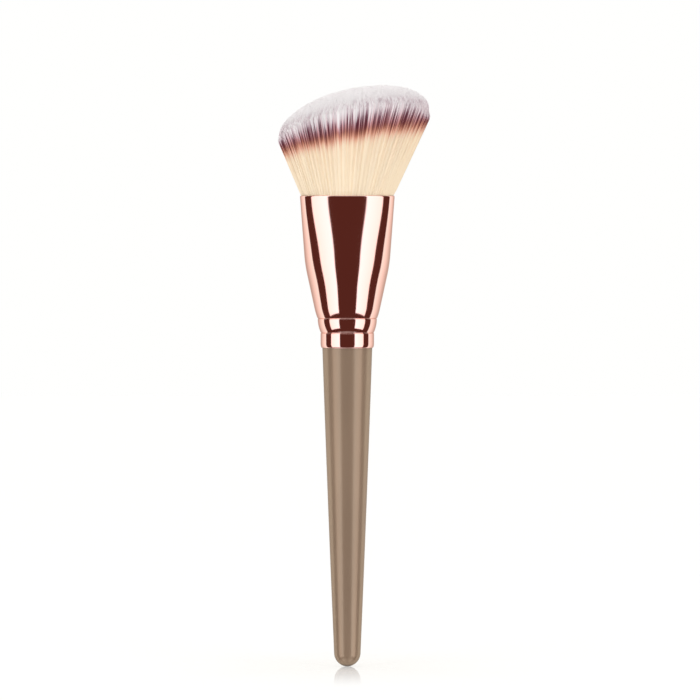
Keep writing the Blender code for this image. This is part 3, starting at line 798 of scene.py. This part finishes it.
# %% [markdown]
# ## The hairs
# Every hair is a tapered rod with three flat sides. One that shows from the side is drawn whole: a root, a
# collar where it has swelled out over the mouth's rim, the band, a shoulder and a point. The others show only
# their tips, so only those are drawn, down into the core. Blender's own hair would be quicker to make, but it
# is no mesh, so it can't be exported or printed. The roots lie on a sunflower spiral, which covers a disc
# evenly without rows, and the disc is stretched to the mouth's oval. Small locks come from soft random
# fields: hairs that stand on the same patch of a field lean their tips, shift their band, stretch their dye
# and pale the same way. A field for the dye has far finer patches than one for the lean, because the dark
# spikes are a hair or two wide.

# %% Soft random fields and the roots
HAIR_COUNT = 90000
ROOT_SCATTER = 0.00003
FIELD_CORNERS = 256
SEED = 11
rng = np.random.default_rng(SEED)


def soft_field(x, y, size):
    """Random numbers on the corners of squares of a given size, blended smoothly inside each square."""
    table = rng.normal(size=(FIELD_CORNERS, FIELD_CORNERS))
    i, j = np.floor(x / size).astype(int), np.floor(y / size).astype(int)
    s, t = x / size - i, y / size - j
    s, t = s * s * (3 - 2 * s), t * t * (3 - 2 * t)
    i, j, right, above = (corner % FIELD_CORNERS for corner in (i, j, i + 1, j + 1))
    low = table[i, j] * (1 - s) + table[right, j] * s
    high = table[i, above] * (1 - s) + table[right, above] * s
    return low * (1 - t) + high * t


def sunflower(count):
    """Points of a unit disc: the radius is the root of the share, and each turn adds the golden angle."""
    i = np.arange(count)
    radius = np.sqrt((i + 0.5) / count)
    turn = i * math.pi * (3 - math.sqrt(5))
    return radius * np.cos(turn), radius * np.sin(turn)


u, v = sunflower(HAIR_COUNT)
radius = np.hypot(u, v)
root_x = FIELD_HALF_WIDTH * u + rng.normal(0, ROOT_SCATTER, HAIR_COUNT)
root_y = FIELD_HALF_DEPTH * v + rng.normal(0, ROOT_SCATTER, HAIR_COUNT)
mouth_area = math.pi * FIELD_HALF_WIDTH * FIELD_HALF_DEPTH
print(f"{HAIR_COUNT} hairs, {1e6 * mouth_area / HAIR_COUNT:.4f} mm2 of mouth each")

# %% Lengths and leans of the hairs
UNEVEN, LONGEST_OVER = 0.0005, 0.0001
LOCK, LOCK_RISE = 0.0012, 0.00008
LEANING_LOCK, LEAN_X, LEAN_Y = 0.0009, 0.00012, 0.00010
STRAY_X, STRAY_Y = 0.00006, 0.00004

length = trimmed_height(root_x, root_y)
tip_x, tip_y = fan(root_x, root_y, length)
short = np.minimum(np.abs(rng.normal(0, UNEVEN, HAIR_COUNT)), 3 * UNEVEN)
length = length - short + LONGEST_OVER + LOCK_RISE * soft_field(tip_x, tip_y, LOCK)
lean_x = LEAN_X * soft_field(tip_x, tip_y, LEANING_LOCK) + rng.normal(0, STRAY_X, HAIR_COUNT)
lean_y = LEAN_Y * soft_field(tip_x, tip_y, LEANING_LOCK) + rng.normal(0, STRAY_Y, HAIR_COUNT)
print(f"longest hair {1000 * length.max():.1f} mm, shortest {1000 * length.min():.1f} mm")

# %% [markdown]
# The dye wicks up by a factor that differs from lock to lock, so its logarithm gets the random field. Two
# caps hold the factor back. Hairs inside the tuft show nothing but their tips, which stay pale on the real
# brush, so only the outermost may wick far. And no hair may carry dye into its last few millimetres, however
# short it was cut.

# %% How the dye took on each hair
RIM_LENGTH, SHELL_DEPTH = 0.018, 0.0020
SHIFT_PATCH, SHIFT_SPREAD, SHIFT_STRAY = 0.0007, 0.00022, 0.00025
SPIKE_PATCH, SPIKE_SPREAD, SPIKE_STRAY = 0.00015, 0.46, 0.10
SPIKE_MIDDLE, SPIKE_SLANT = 0.10, 0.13
CREEP_PATCH, CREEP_SPREAD, CREEP_STRAY = 0.0003, 0.12, 0.08
PALE_PATCH, PALE_SPREAD, PALE_STRAY = 0.00014, 1.30, 0.10
PALE_MIDDLE, WIDE_PATCH, WIDE_SPREAD = 0.35, 0.0015, 0.08
CAP_START, CAP_REACH, CAP_RISE, CAP_SLANT = 0.84, 0.10, 0.85, 0.35
TIP_CLEAR, LEAST_WICK = 0.0043, 0.25

along_rim = np.arctan2(v, u) * RIM_LENGTH
depth_in = SHELL_DEPTH * radius
shift = SHIFT_SPREAD * soft_field(along_rim, depth_in, SHIFT_PATCH)
shift = shift + rng.normal(0, SHIFT_STRAY, HAIR_COUNT)
wick_up = SPIKE_MIDDLE + SPIKE_SLANT * u + SPIKE_SPREAD * soft_field(along_rim, depth_in, SPIKE_PATCH)
wick_up = np.exp(wick_up + rng.normal(0, SPIKE_STRAY, HAIR_COUNT))
wick_down = CREEP_SPREAD * soft_field(along_rim, depth_in, CREEP_PATCH)
wick_down = np.exp(wick_down + rng.normal(0, CREEP_STRAY, HAIR_COUNT))
shell_cap = 1 + (CAP_RISE + CAP_SLANT * u) * np.clip((radius - CAP_START) / CAP_REACH, 0, 1)
tip_cap = (length - band_height(tip_x) - shift) / TIP_CLEAR
wick_up = np.maximum(np.minimum(np.minimum(wick_up, shell_cap), tip_cap), LEAST_WICK)
paleness = PALE_MIDDLE + PALE_SPREAD * soft_field(along_rim, depth_in, PALE_PATCH)
paleness = paleness + WIDE_SPREAD * soft_field(tip_x, tip_y, WIDE_PATCH)
paleness = np.clip(paleness + rng.normal(0, PALE_STRAY, HAIR_COUNT), 0, 1)
mostly_pale = 100 * (paleness > 0.5).mean()
print(f"band shifts by {1000 * shift.std():.2f} mm, {mostly_pale:.0f} of 100 hairs are pale")
print(f"the dye's stretch above the band runs from {wick_up.min():.2f} to {wick_up.max():.2f}")

# %% Draw the hairs as arrays
ROOT_DEPTH = 0.0008
COLLAR = 0.0018
TIP_DEPTH = 0.0041
TAPER = 0.0006
TIP_BEND, BEND_START = 0.0022, 0.76
GIRTHS = np.array([0.000070, 0.000082, 0.000096, 0.000108])
TONE_WIDTH = 0.0008
LEAST_V, MOST_V = 0.002, 0.998


def band_level(pick):
    """The height at which each hair crosses the band, found in two steps because the band slants."""
    height = np.full(len(pick), BAND_LINE[0])
    for _ in range(2):
        height = band_height(fan(root_x[pick], root_y[pick], height)[0])
    return np.minimum(height + shift[pick], length[pick] - 2 * TAPER)


def hair_points(pick, heights, girths):
    """Three points round the centre line at each level but the last, then the tip, and each level's V.

    The centre line is the fan's line plus the lean times the squared share of the length. The outermost
    hairs of the long corner bend back by an amount that grows from the bend's start on.
    """
    levels = heights.shape[1] - 1
    share = np.maximum(heights, 0) / length[pick][:, None]
    x, y = fan(root_x[pick][:, None], root_y[pick][:, None], heights)
    bend = TIP_BEND * np.maximum(u[pick], 0)[:, None] ** 4 * np.maximum(share - BEND_START, 0)
    x, y = x + lean_x[pick][:, None] * share ** 2 - bend, y + lean_y[pick][:, None] * share ** 2
    centres = np.stack([x, y, MOUTH_Z + heights], axis=-1)
    turn = pick[:, None] + np.arange(3) * (2 * math.pi / 3)
    round_it = np.stack([np.cos(turn), np.sin(turn), np.zeros_like(turn)], axis=-1)
    sides = centres[:, :levels, None, :] + girths[None, :, None, None] * round_it[:, None, :, :]
    points = np.concatenate([sides.reshape(len(pick), 3 * levels, 3), centres[:, levels:, :]], axis=1)
    over = heights - band_height(x) - shift[pick][:, None]
    over = over / np.where(over > 0, wick_up[pick][:, None], wick_down[pick][:, None])
    return points, np.clip((over + BAND_BELOW) / (BAND_BELOW + BAND_ABOVE), LEAST_V, MOST_V)


# %% Join the points of a hair with faces
def hair_faces(levels):
    """Quads between the levels and triangles at both ends of one hair, with each corner's level and side."""
    low, k = np.divmod(np.arange(3 * (levels - 1)), 3)
    beside, tip = (k + 1) % 3, 3 * levels
    quads = np.stack([3 * low + k, 3 * low + beside, 3 * low + 3 + beside, 3 * low + 3 + k], axis=1)
    quad_levels = np.stack([low, low, low + 1, low + 1], axis=1)
    quad_sides = np.tile([0.0, 1.0, 1.0, 0.0], (len(low), 1))
    top = tip - 3
    triangles = np.array([(0, 2, 1), (top, top + 1, tip), (top + 1, top + 2, tip), (top + 2, top, tip)])
    last = levels - 1
    triangle_levels = np.array([(0, 0, 0)] + [(last, last, levels)] * 3)
    triangle_sides = np.array([(0, 1, 0.5)] * 4)
    return (quads, triangles), (quad_levels, triangle_levels), (quad_sides, triangle_sides)


for kind, girths in (("whole hair", GIRTHS), ("hair's end", GIRTHS[2:])):
    quads, triangles = hair_faces(len(girths))[0]
    print(f"a {kind} has {2 * len(quads) + len(triangles)} triangles")

# %% Make the locks
def make_locks(label, chosen, count, heights_of, girths):
    """Meshes of the chosen hairs in sectors round the tuft, with the dye's two values in their UV map."""
    face_sets, level_sets, side_sets = hair_faces(len(girths))
    for number, pick in enumerate(np.array_split(chosen, count)):
        points, along = hair_points(pick, heights_of(pick), girths)
        first = (np.arange(len(pick)) * points.shape[1])[:, None, None]
        faces = [(first + one[None]).reshape(-1, one.shape[1]) for one in face_sets]
        lock = put_in_mesh(f"{label}_{number + 1}", points.reshape(-1, 3), faces, hair_dye)
        lock.data.shade_flat()
        tone = paleness[pick][:, None, None] * (1 - TONE_WIDTH)
        across = [tone + TONE_WIDTH * one[None] for one in side_sets]
        uv = [np.stack([a, along[:, one]], axis=-1).reshape(-1, 2) for a, one in zip(across, level_sets)]
        uv_map = lock.data.uv_layers.new(name="OFBake")
        uv_map.data.foreach_set("uv", np.concatenate(uv).astype(np.float32).ravel())
        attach(lock, "root")
        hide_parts("hair_tuft")


def whole_hair(pick):
    """Heights of a whole hair's levels: root, collar, band, shoulder and tip."""
    root, collar = np.full(len(pick), -ROOT_DEPTH), np.full(len(pick), COLLAR)
    return np.stack([root, collar, band_level(pick), length[pick] - TAPER, length[pick]], axis=1)


def hair_end(pick):
    """Heights of the levels of a hair that shows only its tip."""
    return np.stack([length[pick] - TIP_DEPTH, length[pick] - TAPER, length[pick]], axis=1)


SHELL = 0.88
OUTER_LOCKS, INNER_LOCKS = 4, 5
around = np.argsort(np.arctan2(v, u))
in_shell = radius[around] > SHELL
make_locks("outer_hair", around[in_shell], OUTER_LOCKS, whole_hair, GIRTHS)
make_locks("inner_hair", around[~in_shell], INNER_LOCKS, hair_end, GIRTHS[2:])

# %% [markdown]
# ## What the ferrule hides
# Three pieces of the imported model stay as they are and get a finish: the bonded root, in which clear resin
# has run between the fibres, the waxed thread that tied them, and the milky glue round the tenon. Their
# meshes are right, so only their material slots change.

# %% Finish the hidden pieces
def dress(node, slot, pattern, colours, gloss, relief):
    """One noise pattern drives colour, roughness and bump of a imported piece's new material."""
    material, nodes, links, shader = new_material(slot)
    texture = noise(nodes, links, *pattern)
    links.new(ramp(nodes, links, texture, colours), shader.inputs["Base Color"])
    links.new(spread(nodes, links, texture, *gloss), shader.inputs["Roughness"])
    bump(nodes, links, shader, texture, *relief)
    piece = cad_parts[node]
    piece.data.materials.clear()
    piece.data.materials.append(material)
    print(f"{node} is finished as {slot}")


RESIN_COLOURS = [(0.35, (0.42, 0.26, 0.12)), (0.65, (0.74, 0.58, 0.36))]
THREAD_COLOURS = [(0.35, (0.60, 0.55, 0.46)), (0.65, (0.86, 0.83, 0.76))]
GLUE_COLOURS = [(0.3, (0.60, 0.49, 0.30)), (0.7, (0.80, 0.73, 0.56))]
BOUND_FIBRES, TWIST, CLOUDS = (1600, 3.0, (1.0, 1.0, 0.05)), (2200, 2.0, (1.0, 1.0, 2.5)), (500, 4.0)
dress("root_plug", "root_resin", BOUND_FIBRES, RESIN_COLOURS, (0.25, 0.5), (0.00003, 0.6))
dress("binding_thread", "waxed_thread", TWIST, THREAD_COLOURS, (0.55, 0.8), (0.00005, 0.7))
dress("adhesive_bed", "set_glue", CLOUDS, GLUE_COLOURS, (0.2, 0.4), (0.00005, 0.5))
